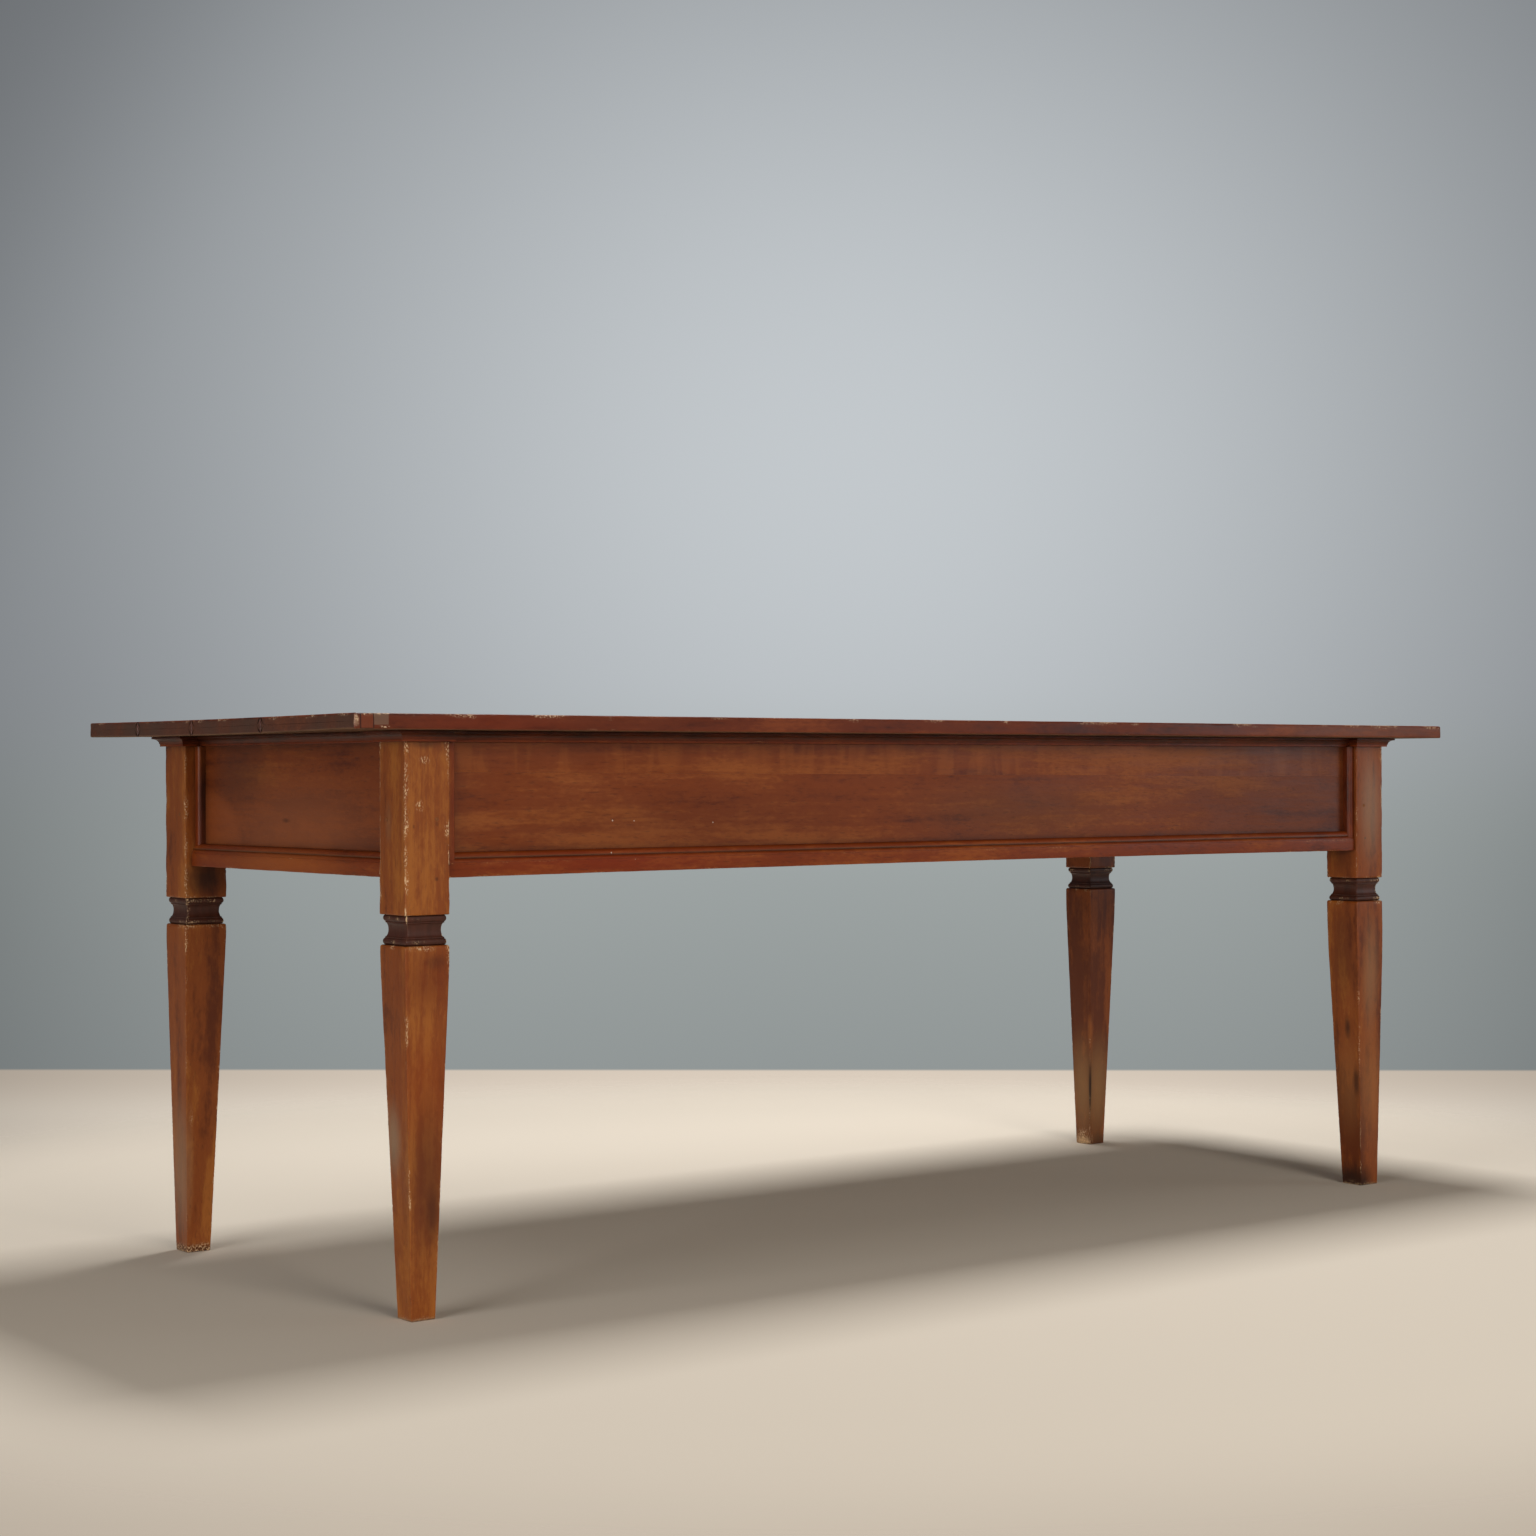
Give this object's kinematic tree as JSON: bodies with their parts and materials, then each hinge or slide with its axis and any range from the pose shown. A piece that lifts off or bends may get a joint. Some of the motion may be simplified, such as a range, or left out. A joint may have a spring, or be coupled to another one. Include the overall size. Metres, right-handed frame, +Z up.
{
  "type": "dining table",
  "caption": "Long walnut dining table with a boarded top, moulded aprons under a cove cornice, and square tapered legs with bead and cove necks.",
  "frame": {"origin": "on the floor under the middle of the top", "axes": "+X along the table's length to the right, +Y to the back, +Z up"},
  "size_m": [2.1, 0.8, 0.78],
  "materials": {
    "walnut_top": "old shellac and wax, satin",
    "walnut_leg": "old shellac and wax, satin, worn at the arrises",
    "walnut_apron": "old shellac and wax, satin",
    "walnut_moulding": "old shellac and wax, satin",
    "plain_wood": "sawn and planed, unfinished",
    "peg_wood": "end grain, darkened by wax"
  },
  "bodies": {
    "root": {"apron_back_lower": "walnut_apron", "apron_back_upper": "walnut_apron", "apron_front_lower": "walnut_apron", "apron_front_upper": "walnut_apron", "apron_left": "walnut_apron", "apron_right": "walnut_apron", "corner_strip_back_end": "walnut_moulding", "corner_strip_back_start": "walnut_moulding", "corner_strip_front_end": "walnut_moulding", "corner_strip_front_start": "walnut_moulding", "corner_strip_left_end": "walnut_moulding", "corner_strip_left_start": "walnut_moulding", "corner_strip_right_end": "walnut_moulding", "corner_strip_right_start": "walnut_moulding", "cornice_back": "walnut_moulding", "cornice_back_left_back": "walnut_moulding", "cornice_back_left_left": "walnut_moulding", "cornice_back_right_back": "walnut_moulding", "cornice_back_right_right": "walnut_moulding", "cornice_front": "walnut_moulding", "cornice_front_left_front": "walnut_moulding", "cornice_front_left_left": "walnut_moulding", "cornice_front_right_front": "walnut_moulding", "cornice_front_right_right": "walnut_moulding", "cornice_left": "walnut_moulding", "cornice_return_back_left_back": "walnut_moulding", "cornice_return_back_left_left": "walnut_moulding", "cornice_return_back_right_back": "walnut_moulding", "cornice_return_back_right_right": "walnut_moulding", "cornice_return_front_left_front": "walnut_moulding", "cornice_return_front_left_left": "walnut_moulding", "cornice_return_front_right_front": "walnut_moulding", "cornice_return_front_right_right": "walnut_moulding", "cornice_right": "walnut_moulding", "cross_rail_left": "plain_wood", "cross_rail_right": "plain_wood", "glue_block_back_1": "plain_wood", "glue_block_back_2": "plain_wood", "glue_block_front_1": "plain_wood", "glue_block_front_2": "plain_wood", "leg_back_left": "walnut_leg", "leg_back_right": "walnut_leg", "leg_front_left": "walnut_leg", "leg_front_right": "walnut_leg", "lower_moulding_back": "walnut_moulding", "lower_moulding_front": "walnut_moulding", "lower_moulding_left": "walnut_moulding", "lower_moulding_right": "walnut_moulding", "peg_back_left_back": "peg_wood", "peg_back_left_left": "peg_wood", "peg_back_right_back": "peg_wood", "peg_back_right_right": "peg_wood", "peg_front_left_front": "peg_wood", "peg_front_left_left": "peg_wood", "peg_front_right_front": "peg_wood", "peg_front_right_right": "peg_wood", "top_board_back": "walnut_top", "top_board_front": "walnut_top", "top_board_middle_back": "walnut_top", "top_board_middle_front": "walnut_top"}
  },
  "joints": []
}
